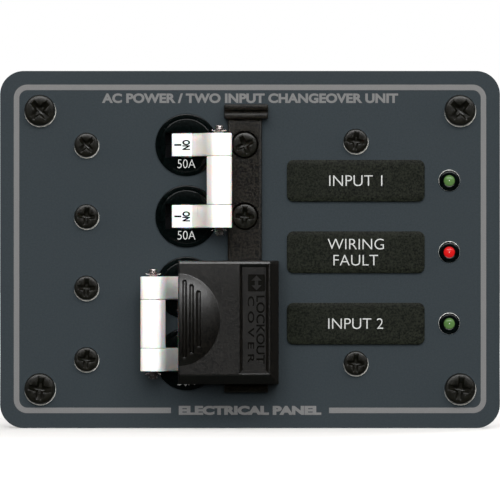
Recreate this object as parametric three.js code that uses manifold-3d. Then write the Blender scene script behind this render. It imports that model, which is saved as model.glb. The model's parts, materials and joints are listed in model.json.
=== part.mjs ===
// AC source selector panel: two double-pole toggle breakers behind a flat plate, with a sliding cover.
// Millimetres. +X is right, +Z is up, and the front faces -Y.
// The origin is the centre of the plate's back face.
import * as THREE from "three";
import { mergeVertices } from "three/addons/utils/BufferGeometryUtils.js";
import Module from "manifold-3d";

const wasm = await Module();
wasm.setup();

// ---- Driving dimensions ----

const PLATE = { width: 133.35, height: 95.25, thickness: 3.175, corner: 6.35 };
const SEAM = 0.1; // gap that keeps two faces apart where pieces only touch
const OVERCUT = 1; // how far a cutting shape runs past the face that it cuts

const POLE_PITCH = 19.05;
const ROW_Z = -0.7; // height of the middle of the four breaker poles, and of the middle label
const POLES = [1.5, 0.5, -0.5, -1.5].map((n) => ROW_Z + n * POLE_PITCH);

const CASE = { left: -48.5, right: 3.5, depth: 47, step: 7, endLength: 15 };
const CASE_SCREW_X = { left: -43.6, right: -1.4 };
const CASE_SCREW_DEPTH = 10; // of the hole in the case
const TERMINAL = {
  inset: 8, // from each end of a breaker case
  washer: 4.4,
  washerThickness: 1,
  head: 3.7,
  headHeight: 2.4,
  reach: 8,
  holeDepth: 9,
};

const BEZEL = { x: -16.93, radius: 8.27, proud: 0.8, windowHalfLength: 5.6, windowHalfHeight: 3.35 };
const LEVER = {
  halfThrow: 26, // degrees each side of upright
  pivotDepth: 5.7, // behind the plate's front face
  hubRadius: 7.5,
  hubGap: 0.4, // between the hub and its pocket in the case
  pinRadius: 20.07, // from the pivot to the tie pin
  width: 6.1, // along the pivot
  neckHalf: 2,
  tip: 6,
  tipCorner: 2,
  fillet: [0.3, 0.7], // where the neck widens to the tip
  shoulder: 0.5,
};
const TRUNNION = { radius: 1.5, halfLength: 5, bearing: 1.8 };
const TIE_PIN = { radius: 1.1, hole: 1.25, overhang: 2 };
const CLIP = { radius: 2.25, thickness: 1.2 };

const TRACK = {
  x: -1.375,
  headWidth: 8.99,
  stemWidth: 5,
  stemHeight: 1.2,
  height: 4.2,
  screwSeat: 1.8, // floor of the counterbores above the plate
};
const TRACK_ENDS = { bottom: -38, bottomStop: -35.95, topStop: 34.8, top: 38.67 };
const STOP = { left: -6.85, right: 4.8, height: 5.6 };

const COVER = {
  left: -19,
  right: 7.6,
  bottom: -35.65,
  top: -2.96,
  height: 20.8, // front face above the plate
  roofUnderside: 18, // the roof's outer edges are bevelled from here to the front face
  frontRight: 5.3,
  frontBottom: -33.2,
  frontTop: -3.4,
  wallLeft: -4.2, // left side of the wall that stands on the track
  footLeft: -7.9,
  footTop: 6,
};
const CLEARANCE = 0.3; // between the cover and the track, and between the cover and the plate
const RECESS = { left: -2.75, right: 4.9, bottom: -32.9, top: -4.1, depth: 0.9 };
const FINGER_PAD = {
  x: COVER.left,
  z: -18.55,
  length: 11.1,
  halfHeight: 12.15,
  rise: 2.4,
  sink: 0.7, // how far its ellipsoid's middle lies under the face, as a share of the ellipsoid's height
};

const LABEL = { x: 28.2, width: 36.67, height: 11.1, corner: 1.7, thickness: 1 };
const LABEL_WINDOW = { width: 33, height: 8, corner: 1 };
const LABEL_ZS = [ROW_Z + POLE_PITCH, ROW_Z, ROW_Z - POLE_PITCH];
const LAMP = {
  x: 53.15,
  flange: 2.8,
  proud: 0.9,
  edge: 0.4,
  barrel: 2.2,
  bore: 1.6,
  barrelEnd: 6,
  lens: 1.5,
  collar: 1,
};
const TRAY = {
  width: 39,
  bottom: -34.2,
  top: 32.8,
  depth: 9,
  wall: 1.5,
  earThickness: 3,
  bodyHalfHeight: 25.3,
};
const LIGHT_SHEET = { front: 0.2, back: 1.7 };
const BACKLIGHT_SCREW_ZS = [28.9, -30.3];
const NUT = { radius: 4.4, thickness: 2.4 };

const SCREW_8 = { head: 4.15, headHeight: 2.5, shank: 2, length: 15.8, hole: 2.4 };
const SCREW_6 = { head: 3.27, headHeight: 2, shank: 1.7, length: 11, hole: 2 };
const TRACK_SCREW = { head: 3.47, headHeight: 2, shank: 1.7, length: 13, hole: 2, counterbore: 3.75 };
const CORNER_SCREW = { x: 56, z: 37.1 };

const FRONT = -PLATE.thickness; // Y of the plate's front face
const PIVOT_Y = FRONT + LEVER.pivotDepth;
const above = (height) => FRONT - height; // Y of a point this high above the plate's front face

// ---- Materials ----

const finish = (color, roughness, metalness = 0) =>
  new THREE.MeshStandardMaterial({ color, roughness, metalness });
const POWDER_COAT = finish(0x3c4448, 0.6);
const BLACK_NYLON = finish(0x2b2927, 0.65);
const GLOSS_BLACK = finish(0x0a0f10, 0.25);
const PHENOLIC = finish(0x1b1c1d, 0.5);
const BLACK_SCREW = finish(0x2c2a22, 0.4, 0.6);
const LABEL_BLACK = finish(0x22261f, 0.5);
const WHITE_NYLON = finish(0xe9eae6, 0.4);
const PLATED_STEEL = finish(0xb9bcc0, 0.3, 1);
const BRASS = finish(0xb08d4a, 0.35, 1);
const DIFFUSER = finish(0xe4e8e4, 0.5);
const LENS = { green: finish(0x62964a, 0.2), red: finish(0xe8191b, 0.2) };

// ---- Outlines ----

// Points along an arc, both ends included. Angles are in degrees.
function arc(x, y, radius, from, to, steps) {
  return Array.from({ length: steps + 1 }, (_, i) => {
    const angle = THREE.MathUtils.degToRad(from + ((to - from) * i) / steps);
    return new THREE.Vector2(x + radius * Math.cos(angle), y + radius * Math.sin(angle));
  });
}

const circle = (x, y, radius, steps = 16) => arc(x, y, radius, 0, 360, steps).slice(1);

function roundedBox(width, height, radius, x = 0, y = 0, steps = 4) {
  const dx = width / 2 - radius;
  const dy = height / 2 - radius;
  const corners = [[1, 1, 0], [-1, 1, 90], [-1, -1, 180], [1, -1, 270]];
  return corners.flatMap(([sx, sy, start]) =>
    arc(x + sx * dx, y + sy * dy, radius, start, start + 90, steps),
  );
}

const outline = (pairs) => pairs.map(([x, y]) => new THREE.Vector2(x, y));

// ---- Solids ----

function extrude(points, holes, depth) {
  const shape = new THREE.Shape(points);
  shape.holes = holes.map((hole) => new THREE.Path(hole));
  return new THREE.ExtrudeGeometry(shape, { depth, bevelEnabled: false });
}

// A sheet parallel to the plate: its outline is in X and Z, and it fills Y from front to back.
const sheet = (points, front, back, holes = []) =>
  extrude(points, holes, back - front).rotateX(Math.PI / 2).translate(0, back, 0);

// A bar along Z: its section is in X and Y.
const bar = (points, low, high, holes = []) =>
  extrude(points, holes, high - low).translate(0, 0, low);

// A bar along X: its section holds [z, y] pairs.
const crossbar = (pairs, left, right) =>
  extrude(outline(pairs.map(([z, y]) => [-z, y])), [], right - left)
    .rotateY(Math.PI / 2)
    .translate(left, 0, 0);

const rod = (x, y, radius, low, high, steps = 24) => bar(circle(x, y, radius, steps), low, high);

const hole = (x, z, radius, front, back, steps = 16) => sheet(circle(x, z, radius, steps), front, back);

function block([x0, x1], [y0, y1], [z0, z1]) {
  const box = new THREE.BoxGeometry(x1 - x0, y1 - y0, z1 - z0);
  return box.translate((x0 + x1) / 2, (y0 + y1) / 2, (z0 + z1) / 2);
}

// A turned piece about the Y axis. Its profile holds [radius, y] pairs, and it runs from the axis to the
// axis or closes on itself.
function turned(profile, segments = 12) {
  const points = outline(profile);
  if (THREE.ShapeUtils.area(points) < 0) points.reverse();
  return new THREE.LatheGeometry(points, segments);
}

// ---- Booleans ----

function toSolid(geometry) {
  const bare = new THREE.BufferGeometry().setAttribute("position", geometry.getAttribute("position"));
  bare.setIndex(geometry.index);
  const merged = mergeVertices(bare, 1e-3);
  const triVerts = [];
  const corners = merged.index.array;
  for (let i = 0; i < corners.length; i += 3) {
    const [a, b, c] = corners.slice(i, i + 3);
    if (a !== b && b !== c && c !== a) triVerts.push(a, b, c);
  }
  const vertProperties = merged.attributes.position.array;
  return new wasm.Manifold(
    new wasm.Mesh({ numProp: 3, vertProperties, triVerts: new Uint32Array(triVerts) }),
  );
}

function toGeometry(solid) {
  const { vertProperties, triVerts } = solid.getMesh();
  return new THREE.BufferGeometry()
    .setAttribute("position", new THREE.BufferAttribute(vertProperties, 3))
    .setIndex(new THREE.BufferAttribute(triVerts, 1));
}

const combine = (how) => (first, ...rest) =>
  toGeometry(rest.reduce((made, next) => made[how](toSolid(next)), toSolid(first)));
const unite = combine("add");
const cut = combine("subtract");
const keep = combine("intersect");

// ---- Scene graph ----

const panel = new THREE.Group();

function place(parent, name, geometry, material, x = 0, y = 0, z = 0) {
  const mesh = new THREE.Mesh(geometry, material);
  mesh.name = name;
  mesh.position.set(x, y, z);
  parent.add(mesh);
}

// ---- Plate and fasteners ----

const corners = [
  ["top_left", -CORNER_SCREW.x, CORNER_SCREW.z],
  ["top_right", CORNER_SCREW.x, CORNER_SCREW.z],
  ["bottom_left", -CORNER_SCREW.x, -CORNER_SCREW.z],
  ["bottom_right", CORNER_SCREW.x, -CORNER_SCREW.z],
];

function plate() {
  const window = LABEL_WINDOW;
  const holes = [
    ...corners.map(([, x, z]) => circle(x, z, SCREW_8.hole, 12)),
    ...POLES.map((z) => circle(CASE_SCREW_X.left, z, SCREW_6.hole, 12)),
    ...POLES.map((z) => circle(CASE_SCREW_X.right, z, TRACK_SCREW.hole, 12)),
    ...POLES.map((z) => circle(BEZEL.x, z, BEZEL.radius + SEAM, 32)),
    ...BACKLIGHT_SCREW_ZS.map((z) => circle(LABEL.x, z, SCREW_6.hole, 12)),
    ...LABEL_ZS.map((z) => roundedBox(window.width, window.height, window.corner, LABEL.x, z, 2)),
    ...LABEL_ZS.map((z) => circle(LAMP.x, z, LAMP.barrel + SEAM, 16)),
  ];
  return sheet(roundedBox(PLATE.width, PLATE.height, PLATE.corner, 0, 0, 8), FRONT, 0, holes);
}

// A pan-head screw whose head's underside is at y = 0 and whose head faces -Y.
function panScrew({ head, headHeight, shank, length }) {
  return turned([
    [0, -headHeight],
    [0.55 * head, -0.94 * headHeight],
    [0.86 * head, -0.68 * headHeight],
    [head, -0.3 * headHeight],
    [head, 0],
    [shank, 0],
    [shank, length - shank],
    [0, length],
  ]);
}

place(panel, "panel_plate", plate(), POWDER_COAT);

for (const [where, x, z] of corners)
  place(panel, `corner_screw_${where}`, panScrew(SCREW_8), BLACK_SCREW, x, FRONT, z);

POLES.forEach((z, i) =>
  place(panel, `breaker_screw_${i + 1}`, panScrew(SCREW_6), BLACK_SCREW, CASE_SCREW_X.left, FRONT, z),
);

// ---- Slide track ----

function slideTrack() {
  const { x, stemWidth, headWidth, stemHeight, height, screwSeat } = TRACK;
  const section = outline([
    [x - stemWidth / 2, above(0)],
    [x - stemWidth / 2, above(stemHeight)],
    [x - headWidth / 2, above(stemHeight)],
    [x - headWidth / 2, above(height)],
    [x + headWidth / 2, above(height)],
    [x + headWidth / 2, above(stemHeight)],
    [x + stemWidth / 2, above(stemHeight)],
    [x + stemWidth / 2, above(0)],
  ]);
  const stop = (low, high) => block([STOP.left, STOP.right], [above(STOP.height), above(0)], [low, high]);
  const body = unite(
    bar(section, TRACK_ENDS.bottom, TRACK_ENDS.top),
    stop(TRACK_ENDS.bottom, TRACK_ENDS.bottomStop),
    stop(TRACK_ENDS.topStop, TRACK_ENDS.top),
  );
  const open = above(height + OVERCUT);
  const bores = POLES.flatMap((z) => [
    hole(CASE_SCREW_X.right, z, TRACK_SCREW.hole, open, above(-OVERCUT), 12),
    hole(CASE_SCREW_X.right, z, TRACK_SCREW.counterbore, open, above(screwSeat), 24),
  ]);
  return cut(body, ...bores);
}

place(panel, "slide_track", slideTrack(), BLACK_NYLON);

POLES.forEach((z, i) => {
  const seat = above(TRACK.screwSeat);
  place(panel, `track_screw_${i + 1}`, panScrew(TRACK_SCREW), BLACK_SCREW, CASE_SCREW_X.right, seat, z);
});

// ---- Breaker cases ----

// One moulded half of a pole's case, from its parting plane at z = 0 out to +Z. It holds half of the round
// boss that comes through the plate, and half of the pocket and bearing that the lever turns in.
function caseHalf() {
  const [inner, outer] = [SEAM / 2, POLE_PITCH / 2 - SEAM / 2];
  const body = block([CASE.left, CASE.right], [0, CASE.depth], [inner, outer]);
  const boss = sheet(arc(BEZEL.x, inner, BEZEL.radius, 0, 180, 16), above(BEZEL.proud), OVERCUT);
  const window = block(
    [BEZEL.x - BEZEL.windowHalfLength, BEZEL.x + BEZEL.windowHalfLength],
    [above(BEZEL.proud + OVERCUT), PIVOT_Y],
    [-OVERCUT, BEZEL.windowHalfHeight],
  );
  const stepY = CASE.depth - CASE.step;
  const terminalStep = (x0, x1) =>
    block([x0, x1], [stepY, CASE.depth + OVERCUT], [-OVERCUT, outer + OVERCUT]);
  const terminalHole = (x) => hole(x, 0, SCREW_8.hole, stepY - TERMINAL.holeDepth, CASE.depth, 12);
  return cut(
    unite(body, boss),
    rod(BEZEL.x, PIVOT_Y, LEVER.hubRadius + LEVER.hubGap, -OVERCUT, BEZEL.windowHalfHeight, 32),
    rod(BEZEL.x, PIVOT_Y, TRUNNION.bearing, -OVERCUT, TRUNNION.halfLength + CLEARANCE, 16),
    window,
    terminalStep(CASE.left - OVERCUT, CASE.left + CASE.endLength),
    terminalStep(CASE.right - CASE.endLength, CASE.right + OVERCUT),
    terminalHole(CASE.left + TERMINAL.inset),
    terminalHole(CASE.right - TERMINAL.inset),
    hole(CASE_SCREW_X.left, 0, SCREW_6.hole, -OVERCUT, CASE_SCREW_DEPTH, 12),
    hole(CASE_SCREW_X.right, 0, TRACK_SCREW.hole, -OVERCUT, CASE_SCREW_DEPTH, 12),
  );
}

// A terminal screw with a washer, whose underside is at y = 0. Its head faces +Y.
function terminalScrew() {
  const { washer, washerThickness, head, headHeight, reach } = TERMINAL;
  const crown = washerThickness + headHeight;
  return turned([
    [0, -reach],
    [SCREW_8.shank, 1 - reach],
    [SCREW_8.shank, 0],
    [washer, 0],
    [washer, washerThickness],
    [head, washerThickness],
    [head, washerThickness + 0.65 * headHeight],
    [0.8 * head, crown - 0.1 * headHeight],
    [0, crown],
  ]);
}

POLES.forEach((z, i) => {
  const upper = new THREE.Group();
  const lower = new THREE.Group();
  upper.position.z = z;
  lower.position.z = z;
  lower.scale.z = -1;
  panel.add(upper, lower);
  place(upper, `breaker_case_${i + 1}_upper`, caseHalf(), PHENOLIC);
  place(lower, `breaker_case_${i + 1}_lower`, caseHalf(), PHENOLIC);
  const seat = CASE.depth - CASE.step;
  place(panel, `line_terminal_${i + 1}`, terminalScrew(), BRASS, CASE.left + TERMINAL.inset, seat, z);
  place(panel, `load_terminal_${i + 1}`, terminalScrew(), BRASS, CASE.right - TERMINAL.inset, seat, z);
});

// ---- Toggles ----

// A lever points along -Y from its pivot at the origin. Its hub and trunnions turn in the case halves.
function lever() {
  const { hubRadius, neckHalf, pinRadius, tip, tipCorner, width, fillet, shoulder } = LEVER;
  const neckAngle = THREE.MathUtils.radToDeg(Math.asin(neckHalf / hubRadius));
  const half = tip / 2;
  const cornerX = half - tipCorner;
  const cornerY = -pinRadius - cornerX;
  const shoulderY = -pinRadius + half;
  const neckEnd = [neckHalf + fillet[0], shoulderY + fillet[1]];
  const tipStart = [half, shoulderY - shoulder];
  const profile = [
    ...arc(0, 0, hubRadius, -90 + neckAngle, 270 - neckAngle, 28),
    ...outline([[-neckEnd[0], neckEnd[1]], [-tipStart[0], tipStart[1]]]),
    ...arc(-cornerX, cornerY, tipCorner, 180, 270, 4),
    ...arc(cornerX, cornerY, tipCorner, 270, 360, 4),
    ...outline([tipStart, neckEnd]),
  ];
  const pinHole = circle(0, -pinRadius, TIE_PIN.hole, 12);
  return unite(
    bar(profile, -width / 2, width / 2, [pinHole]),
    rod(0, 0, TRUNNION.radius, -TRUNNION.halfLength, TRUNNION.halfLength, 16),
  );
}

function tieBar(length) {
  const section = roundedBox(LEVER.tip, LEVER.tip, LEVER.tipCorner);
  return bar(section, -length / 2, length / 2, [circle(0, 0, TIE_PIN.hole, 12)]);
}

// A toggle is two levers that are tied to each other. lean is +1 towards +X (on) or -1 towards -X (off).
function toggle(name, upperPole, lowerPole, lean) {
  const group = new THREE.Group();
  group.position.set(BEZEL.x, PIVOT_Y, 0);
  group.rotation.z = THREE.MathUtils.degToRad(lean * LEVER.halfThrow);
  panel.add(group);
  const middle = (upperPole + lowerPole) / 2;
  const halfSpan = (upperPole - lowerPole + LEVER.width) / 2;
  const pinHalf = halfSpan + TIE_PIN.overhang;
  const clipOffset = halfSpan + SEAM + CLIP.thickness / 2;
  const pinY = -LEVER.pinRadius;
  const clipHalf = CLIP.thickness / 2;
  const clip = () =>
    bar(circle(0, 0, CLIP.radius, 20), -clipHalf, clipHalf, [circle(0, 0, TIE_PIN.hole, 12)]);
  const pin = rod(0, 0, TIE_PIN.radius, -pinHalf, pinHalf, 12);
  const gap = upperPole - lowerPole - LEVER.width;
  place(group, `${name}_lever_upper`, lever(), WHITE_NYLON, 0, 0, upperPole);
  place(group, `${name}_lever_lower`, lever(), WHITE_NYLON, 0, 0, lowerPole);
  place(group, `${name}_tie_bar`, tieBar(gap - 2 * SEAM), WHITE_NYLON, 0, pinY, middle);
  place(group, `${name}_tie_pin`, pin, PLATED_STEEL, 0, pinY, middle);
  place(group, `${name}_pin_clip_upper`, clip(), PLATED_STEEL, 0, pinY, middle + clipOffset);
  place(group, `${name}_pin_clip_lower`, clip(), PLATED_STEEL, 0, pinY, middle - clipOffset);
}

toggle("upper_toggle", POLES[0], POLES[1], 1);
toggle("lower_toggle", POLES[2], POLES[3], -1);

// ---- Lockout cover ----

// The cover's section is a hood that passes over the levers and a wall that grips the track's head.
function coverSection() {
  const channelLeft = TRACK.x - TRACK.headWidth / 2 - CLEARANCE;
  const channelRight = TRACK.x + TRACK.headWidth / 2 + CLEARANCE;
  const lipLeft = TRACK.x - TRACK.stemWidth / 2 - CLEARANCE;
  const lipRight = TRACK.x + TRACK.stemWidth / 2 + CLEARANCE;
  const lipTop = TRACK.stemHeight - CLEARANCE;
  const ceiling = TRACK.height + CLEARANCE;
  const heights = [
    [COVER.right, CLEARANCE],
    [COVER.right, COVER.roofUnderside],
    [COVER.frontRight, COVER.height],
    [COVER.left, COVER.height],
    [COVER.left, COVER.roofUnderside],
    [COVER.wallLeft, COVER.roofUnderside],
    [COVER.wallLeft, COVER.footTop],
    [COVER.footLeft, COVER.footTop],
    [COVER.footLeft, CLEARANCE],
    [lipLeft, CLEARANCE],
    [lipLeft, lipTop],
    [channelLeft, lipTop],
    [channelLeft, ceiling],
    [channelRight, ceiling],
    [channelRight, lipTop],
    [lipRight, lipTop],
    [lipRight, CLEARANCE],
  ];
  return outline(heights.map(([x, height]) => [x, above(height)]));
}

// The cover from the side, with the bevels at its two ends.
function coverSide() {
  const heights = [
    [COVER.bottom, -OVERCUT],
    [COVER.bottom, COVER.roofUnderside],
    [COVER.frontBottom, COVER.height],
    [COVER.frontTop, COVER.height],
    [COVER.top, COVER.roofUnderside],
    [COVER.top, -OVERCUT],
  ];
  const side = heights.map(([z, height]) => [z, above(height)]);
  return crossbar(side, COVER.left - OVERCUT, COVER.right + OVERCUT);
}

// The finger pad is the cap of an ellipsoid, cut off by the cover's left side.
function fingerPad() {
  const { x, z, length, halfHeight, rise, sink } = FINGER_PAD;
  const spread = Math.sqrt(1 - sink * sink);
  const depth = rise / (1 - sink);
  const ellipsoid = new THREE.SphereGeometry(1, 32, 24)
    .scale(length / spread, depth, halfHeight / spread)
    .translate(x, above(COVER.height - sink * depth), z);
  const cap = block(
    [x, x + 2 * length],
    [above(COVER.height + rise + OVERCUT), above(COVER.height - SEAM)],
    [z - 2 * halfHeight, z + 2 * halfHeight],
  );
  return keep(ellipsoid, cap);
}

function lockoutCover() {
  const body = keep(bar(coverSection(), COVER.bottom - OVERCUT, COVER.top + OVERCUT), coverSide());
  const recess = block(
    [RECESS.left, RECESS.right],
    [above(COVER.height + OVERCUT), above(COVER.height - RECESS.depth)],
    [RECESS.bottom, RECESS.top],
  );
  return unite(cut(body, recess), fingerPad());
}

place(panel, "lockout_cover", lockoutCover(), BLACK_NYLON);

// ---- Labels, backlight and lamps ----

const functions = [["shore", "green"], ["polarity", "red"], ["generator", "green"]];

// A lamp holder: a flange on the plate's front face and a barrel through it.
function lampHolder() {
  const front = above(LAMP.proud);
  return turned([
    [LAMP.bore, front],
    [LAMP.flange - LAMP.edge, front],
    [LAMP.flange, above(LAMP.proud - LAMP.edge)],
    [LAMP.flange, FRONT],
    [LAMP.barrel, FRONT],
    [LAMP.barrel, LAMP.barrelEnd],
    [LAMP.bore, LAMP.barrelEnd],
    [LAMP.bore, front],
  ]);
}

// A domed light-emitting diode with a collar at its back end.
function lampLens() {
  const dome = arc(0, above(LAMP.proud - 1), LAMP.lens, 0, -90, 4).map(({ x, y }) => [x, y]);
  const collar = LAMP.barrelEnd + SEAM;
  const back = collar + LAMP.collar;
  return turned([[0, back], [LAMP.barrel, back], [LAMP.barrel, collar], [LAMP.lens, collar], ...dome]);
}

functions.forEach(([name, colour], i) => {
  const z = LABEL_ZS[i];
  const shape = roundedBox(LABEL.width, LABEL.height, LABEL.corner, LABEL.x, z);
  place(panel, `label_${name}`, sheet(shape, above(LABEL.thickness), FRONT), LABEL_BLACK);
  place(panel, `lamp_holder_${name}`, lampHolder(), GLOSS_BLACK, LAMP.x, 0, z);
  place(panel, `lamp_lens_${name}`, lampLens(), LENS[colour], LAMP.x, 0, z);
});

const trayX = [LABEL.x - TRAY.width / 2, LABEL.x + TRAY.width / 2];
const lightZ = [ROW_Z - TRAY.bodyHalfHeight + TRAY.wall, ROW_Z + TRAY.bodyHalfHeight - TRAY.wall];
const lightX = [trayX[0] + TRAY.wall, trayX[1] - TRAY.wall];

// A shallow tray behind the labels, with an ear at each end for its screw.
function backlightTray() {
  const wide = [trayX[0] - OVERCUT, trayX[1] + OVERCUT];
  const back = TRAY.depth + OVERCUT;
  const overEar = (low, high) => block(wide, [TRAY.earThickness, back], [low, high]);
  return cut(
    block(trayX, [0, TRAY.depth], [TRAY.bottom, TRAY.top]),
    block(lightX, [-OVERCUT, TRAY.depth - TRAY.wall], lightZ),
    overEar(TRAY.bottom - OVERCUT, ROW_Z - TRAY.bodyHalfHeight),
    overEar(ROW_Z + TRAY.bodyHalfHeight, TRAY.top + OVERCUT),
    ...BACKLIGHT_SCREW_ZS.map((z) => hole(LABEL.x, z, SCREW_6.hole, -OVERCUT, back, 12)),
  );
}

const inset = ([low, high]) => [low + CLEARANCE, high - CLEARANCE];
place(panel, "backlight_tray", backlightTray(), WHITE_NYLON);
const lightY = [LIGHT_SHEET.front, LIGHT_SHEET.back];
place(panel, "backlight_sheet", block(inset(lightX), lightY, inset(lightZ)), DIFFUSER);

BACKLIGHT_SCREW_ZS.forEach((z, i) => {
  const nutBack = TRAY.earThickness + NUT.thickness;
  const bore = circle(0, 0, SCREW_6.hole, 12);
  const nut = sheet(circle(0, 0, NUT.radius, 6), TRAY.earThickness, nutBack, [bore]);
  place(panel, `backlight_screw_${i + 1}`, panScrew(SCREW_6), BLACK_SCREW, LABEL.x, FRONT, z);
  place(panel, `backlight_nut_${i + 1}`, nut, PLATED_STEEL, LABEL.x, 0, z);
});

export default panel;
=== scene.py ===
"""AC source selector panel: the finished look of every piece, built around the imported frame.

Everything is in metres in the row frame: +X right, +Z up, and the panel's front faces -Y.
Places come from the frame's boxes and joints. The sizes named below are details that it doesn't hold.
"""

import json
import math

import bmesh
import bpy
from mathutils import Matrix, Vector
from mathutils.geometry import tessellate_polygon


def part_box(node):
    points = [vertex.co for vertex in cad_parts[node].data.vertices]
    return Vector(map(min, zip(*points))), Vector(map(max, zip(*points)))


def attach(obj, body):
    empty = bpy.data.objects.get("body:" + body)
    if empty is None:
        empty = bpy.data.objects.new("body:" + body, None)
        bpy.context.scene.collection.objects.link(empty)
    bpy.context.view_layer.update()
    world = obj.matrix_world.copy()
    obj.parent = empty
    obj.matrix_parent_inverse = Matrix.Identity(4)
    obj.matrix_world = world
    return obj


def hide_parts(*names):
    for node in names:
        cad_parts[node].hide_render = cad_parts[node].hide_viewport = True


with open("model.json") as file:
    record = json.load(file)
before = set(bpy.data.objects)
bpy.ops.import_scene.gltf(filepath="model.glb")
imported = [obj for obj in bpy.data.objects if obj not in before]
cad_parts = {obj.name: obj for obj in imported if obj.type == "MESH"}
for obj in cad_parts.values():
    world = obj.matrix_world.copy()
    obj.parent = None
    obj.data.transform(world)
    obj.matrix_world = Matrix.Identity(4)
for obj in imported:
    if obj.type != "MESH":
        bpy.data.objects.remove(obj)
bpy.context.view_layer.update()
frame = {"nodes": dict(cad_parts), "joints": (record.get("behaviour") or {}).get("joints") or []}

MM = 0.001
NODES = frame["nodes"]
JOINTS = {joint["name"]: joint for joint in frame["joints"]}


def centre(node):
    low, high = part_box(node)
    return (low + high) / 2


def half_width(node):
    low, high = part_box(node)
    return (high.x - low.x) / 2


PLATE_LOW, PLATE_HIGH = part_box("panel_plate")
FRONT = PLATE_LOW.y
BACK = PLATE_HIGH.y
POLES = [1, 2, 3, 4]
TOGGLES = ["upper_toggle", "lower_toggle"]


# ---- materials


def fill(node, **sockets):
    """Sets a node's own input values. An underscore stands for a space in a socket's name."""
    for socket, value in sockets.items():
        node.inputs[socket.replace("_", " ")].default_value = value


class Finish:
    """A procedural material on object coordinates, with its nodes kept at hand."""

    def __init__(self, name, **sockets):
        self.material = bpy.data.materials.new(name)
        self.material.use_nodes = True
        self.tree = self.material.node_tree
        self.shader = self.tree.nodes["Principled BSDF"]
        self.coordinates = self.tree.nodes.new("ShaderNodeTexCoord").outputs["Object"]
        fill(self.shader, **sockets)

    def node(self, kind, **settings):
        made = self.tree.nodes.new(kind)
        for setting, value in settings.items():
            setattr(made, setting, value)
        return made

    def link(self, source, target):
        self.tree.links.new(source, target)

    def noise(self, scale, detail=3.0, roughness=0.5, stretch=None):
        texture = self.node("ShaderNodeTexNoise")
        fill(texture, Scale=scale, Detail=detail, Roughness=roughness)
        source = self.coordinates
        if stretch:
            mapping = self.node("ShaderNodeMapping")
            fill(mapping, Scale=stretch)
            self.link(source, mapping.inputs["Vector"])
            source = mapping.outputs["Vector"]
        self.link(source, texture.inputs["Vector"])
        return texture.outputs["Fac"]

    def remap(self, source, low, high, start=0.3, stop=0.7):
        ranged = self.node("ShaderNodeMapRange")
        fill(ranged, From_Min=start, From_Max=stop, To_Min=low, To_Max=high)
        self.link(source, ranged.inputs["Value"])
        return ranged.outputs["Result"]

    def colours(self, factor, first, second, spread=0.2):
        """Runs the base colour from first to second as factor goes from 0.5 - spread to 0.5 + spread."""
        ramp = self.node("ShaderNodeValToRGB")
        for stop, side, colour in zip(ramp.color_ramp.elements, (-1, 1), (first, second)):
            stop.position = 0.5 + side * spread
            stop.color = (*colour, 1)
        self.link(factor, ramp.inputs["Fac"])
        self.link(ramp.outputs["Color"], self.shader.inputs["Base Color"])

    def rough(self, source, low, high, start=0.3, stop=0.7):
        self.link(self.remap(source, low, high, start, stop), self.shader.inputs["Roughness"])

    def bump(self, heights):
        """heights holds (source, depth in millimetres) pairs, one bump on top of the other."""
        normal = None
        for source, depth in heights:
            bumped = self.node("ShaderNodeBump")
            fill(bumped, Distance=depth * MM)
            self.link(source, bumped.inputs["Height"])
            if normal:
                self.link(normal, bumped.inputs["Normal"])
            normal = bumped.outputs["Normal"]
        self.link(normal, self.shader.inputs["Normal"])


def powder_coat():
    finish = Finish("panel_coat", Specular_IOR_Level=0.12)
    finish.colours(finish.noise(2200, 4, 0.7), (0.0184, 0.0241, 0.0278), (0.0242, 0.0310, 0.0351), 0.15)
    peel = finish.noise(1400, 2)
    finish.rough(peel, 0.5, 0.6)
    finish.bump([(peel, 0.004), (finish.noise(6000, 2), 0.001)])
    return finish.material


def black_nylon(name, specular, shade):
    """shade scales the pale grains' colour."""
    finish = Finish(name, Specular_IOR_Level=specular)
    grain = finish.noise(2200, 2, 0.8)
    finish.colours(grain, (0.0001, 0.0001, 0.0001), (0.0040 * shade, 0.0034 * shade, 0.0024 * shade), 0.02)
    finish.rough(grain, 0.34, 0.41, 0.42, 0.58)
    finish.bump([(finish.noise(450, 2), 0.006), (grain, 0.018)])
    return finish.material


def gloss_black():
    finish = Finish("gloss_black", Specular_IOR_Level=0.35)
    speckle = finish.noise(1300, 4, 0.7)
    finish.colours(speckle, (0.0001, 0.0004, 0.0004), (0.0010, 0.0022, 0.0021), 0.12)
    finish.rough(speckle, 0.09, 0.14)
    finish.bump([(finish.noise(700, 2), 0.002)])
    return finish.material


def phenolic():
    finish = Finish("phenolic", Specular_IOR_Level=0.4)
    flow = finish.noise(240, 4, 0.6, stretch=(1, 1, 3))
    finish.colours(flow, (0.010, 0.010, 0.011), (0.019, 0.019, 0.020))
    finish.rough(flow, 0.38, 0.55)
    finish.bump([(finish.noise(2400, 3), 0.005)])
    return finish.material


def black_screw():
    finish = Finish("black_screw", Metallic=0.15, Specular_IOR_Level=0.5)
    oxide = finish.noise(1300, 5, 0.65)
    finish.colours(oxide, (0.0018, 0.0018, 0.0010), (0.0062, 0.0058, 0.0038), 0.12)
    finish.rough(oxide, 0.27, 0.40)
    finish.bump([(finish.noise(3500, 3), 0.006)])
    return finish.material


def label_black():
    finish = Finish("label_black", Specular_IOR_Level=0.15)
    finish.colours(finish.noise(2100, 3, 0.85), (0.0002, 0.0006, 0.0001), (0.0118, 0.0136, 0.0092), 0.085)
    grain = finish.noise(5000, 2)
    finish.rough(grain, 0.42, 0.52)
    finish.bump([(grain, 0.002)])
    return finish.material


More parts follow.
